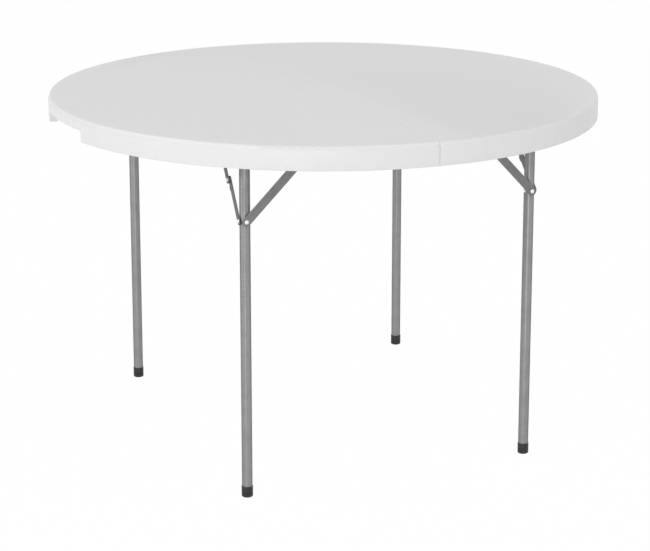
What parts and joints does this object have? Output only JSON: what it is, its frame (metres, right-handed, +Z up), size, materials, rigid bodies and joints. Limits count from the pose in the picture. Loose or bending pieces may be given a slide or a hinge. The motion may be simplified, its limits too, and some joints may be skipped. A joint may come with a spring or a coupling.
{
  "type": "folding table",
  "caption": "Round white plastic folding table whose top folds in half at a seam, on round steel legs that fold flat under it, each with a flat strut and a hinged brace.",
  "frame": {"origin": "on the floor, under the middle of the seam and of the round top", "axes": "+Z up; +Y along the seam, away from the front legs; +X square to the seam, towards the half that swings"},
  "size_m": [1.2198, 1.22, 0.76],
  "materials": {
    "top": "white blow-moulded polyethylene with a fine pebbled grain on its upper face",
    "leg": "grey powder-coated steel tube, satin",
    "brace": "grey powder-coated steel strip, satin",
    "zinc": "bright zinc-plated sheet steel",
    "rivet": "bright nickel-plated steel rivets and screws",
    "foot": "black moulded foot caps, dull",
    "bush": "dark nylon bushes"
  },
  "bodies": {
    "left_half": {"left_top": "top", "left_hinge_leaves": "zinc", "hinge_pins": "rivet", "left_hinge_screws": "rivet", "left_axle_clips": "zinc", "left_axle_bushes": "bush", "left_clip_screws": "rivet", "left_brace_anchors": "zinc", "left_anchor_rivets": "rivet"},
    "right_half": {"right_top": "top", "right_hinge_leaves": "zinc", "right_hinge_screws": "rivet", "right_axle_clips": "zinc", "right_axle_bushes": "bush", "right_clip_screws": "rivet", "right_brace_anchors": "zinc", "right_anchor_rivets": "rivet"},
    "front_left_leg": {"front_left_leg_tube": "leg", "front_left_axle_tube": "leg", "front_left_strut": "brace", "front_left_leg_rivets": "rivet", "front_left_foot_cap": "foot"},
    "front_left_lower_brace": {"front_left_lower_link": "brace", "front_left_knee_rivet": "rivet"},
    "front_left_upper_brace": {"front_left_upper_link": "brace", "front_left_knee_cap": "rivet"},
    "front_right_leg": {"front_right_leg_tube": "leg", "front_right_axle_tube": "leg", "front_right_strut": "brace", "front_right_leg_rivets": "rivet", "front_right_foot_cap": "foot"},
    "front_right_lower_brace": {"front_right_lower_link": "brace", "front_right_knee_rivet": "rivet"},
    "front_right_upper_brace": {"front_right_upper_link": "brace", "front_right_knee_cap": "rivet"},
    "back_right_leg": {"back_right_leg_tube": "leg", "back_right_axle_tube": "leg", "back_right_strut": "brace", "back_right_leg_rivets": "rivet", "back_right_foot_cap": "foot"},
    "back_right_lower_brace": {"back_right_lower_link": "brace", "back_right_knee_rivet": "rivet"},
    "back_right_upper_brace": {"back_right_upper_link": "brace", "back_right_knee_cap": "rivet"},
    "back_left_leg": {"back_left_leg_tube": "leg", "back_left_axle_tube": "leg", "back_left_strut": "brace", "back_left_leg_rivets": "rivet", "back_left_foot_cap": "foot"},
    "back_left_lower_brace": {"back_left_lower_link": "brace", "back_left_knee_rivet": "rivet"},
    "back_left_upper_brace": {"back_left_upper_link": "brace", "back_left_knee_cap": "rivet"}
  },
  "joints": [
    {"name": "table_fold", "type": "hinge", "parent": "left_half", "child": "right_half", "pos_m": [0, 0, 0.7095], "axis": [0, 1, 0], "range_deg": [0, 180]},
    {"name": "front_left_leg_fold", "type": "hinge", "parent": "left_half", "child": "front_left_leg", "pos_m": [-0.3575, -0.446, 0.728], "axis": [0.9962, -0.0872, 0], "range_deg": [0, 90]},
    {"name": "front_left_lower_brace_turn", "type": "hinge", "parent": "front_left_leg", "child": "front_left_lower_brace", "pos_m": [-0.3575, -0.446, 0.594], "axis": [0.9962, -0.0872, 0], "range_deg": [0, 41.86]},
    {"name": "front_left_upper_brace_turn", "type": "hinge", "parent": "left_half", "child": "front_left_upper_brace", "pos_m": [-0.34704, -0.32646, 0.728], "axis": [-0.9962, 0.0872, 0], "range_deg": [0, 48.16]},
    {"name": "front_right_leg_fold", "type": "hinge", "parent": "right_half", "child": "front_right_leg", "pos_m": [0.2985, -0.4265, 0.728], "axis": [0.9986, 0.0523, 0], "range_deg": [0, 90]},
    {"name": "front_right_lower_brace_turn", "type": "hinge", "parent": "front_right_leg", "child": "front_right_lower_brace", "pos_m": [0.2985, -0.4265, 0.594], "axis": [0.9986, 0.0523, 0], "range_deg": [0, 41.86]},
    {"name": "front_right_upper_brace_turn", "type": "hinge", "parent": "right_half", "child": "front_right_upper_brace", "pos_m": [0.29222, -0.30666, 0.728], "axis": [-0.9986, -0.0523, 0], "range_deg": [0, 48.16]},
    {"name": "back_right_leg_fold", "type": "hinge", "parent": "right_half", "child": "back_right_leg", "pos_m": [0.376, 0.427, 0.728], "axis": [-0.9954, -0.0958, 0], "range_deg": [0, 90]},
    {"name": "back_right_lower_brace_turn", "type": "hinge", "parent": "back_right_leg", "child": "back_right_lower_brace", "pos_m": [0.376, 0.427, 0.594], "axis": [-0.9954, -0.0958, 0], "range_deg": [0, 41.86]},
    {"name": "back_right_upper_brace_turn", "type": "hinge", "parent": "right_half", "child": "back_right_upper_brace", "pos_m": [0.3875, 0.30755, 0.728], "axis": [0.9954, 0.0958, 0], "range_deg": [0, 48.16]},
    {"name": "back_left_leg_fold", "type": "hinge", "parent": "left_half", "child": "back_left_leg", "pos_m": [-0.3095, 0.4215, 0.728], "axis": [-0.9954, 0.0958, 0], "range_deg": [0, 90]},
    {"name": "back_left_lower_brace_turn", "type": "hinge", "parent": "back_left_leg", "child": "back_left_lower_brace", "pos_m": [-0.3095, 0.4215, 0.594], "axis": [-0.9954, 0.0958, 0], "range_deg": [0, 41.86]},
    {"name": "back_left_upper_brace_turn", "type": "hinge", "parent": "left_half", "child": "back_left_upper_brace", "pos_m": [-0.321, 0.30205, 0.728], "axis": [0.9954, -0.0958, 0], "range_deg": [0, 48.16]}
  ],
  "couplings": [
    {"joint": "front_left_leg_fold", "follows": "table_fold", "ratio": 0.5},
    {"joint": "front_left_lower_brace_turn", "follows": "table_fold", "ratio": 0.23247},
    {"joint": "front_left_upper_brace_turn", "follows": "table_fold", "ratio": 0.26753},
    {"joint": "front_right_leg_fold", "follows": "table_fold", "ratio": 0.5},
    {"joint": "front_right_lower_brace_turn", "follows": "table_fold", "ratio": 0.23247},
    {"joint": "front_right_upper_brace_turn", "follows": "table_fold", "ratio": 0.26753},
    {"joint": "back_right_leg_fold", "follows": "table_fold", "ratio": 0.5},
    {"joint": "back_right_lower_brace_turn", "follows": "table_fold", "ratio": 0.23247},
    {"joint": "back_right_upper_brace_turn", "follows": "table_fold", "ratio": 0.26753},
    {"joint": "back_left_leg_fold", "follows": "table_fold", "ratio": 0.5},
    {"joint": "back_left_lower_brace_turn", "follows": "table_fold", "ratio": 0.23247},
    {"joint": "back_left_upper_brace_turn", "follows": "table_fold", "ratio": 0.26753}
  ]
}
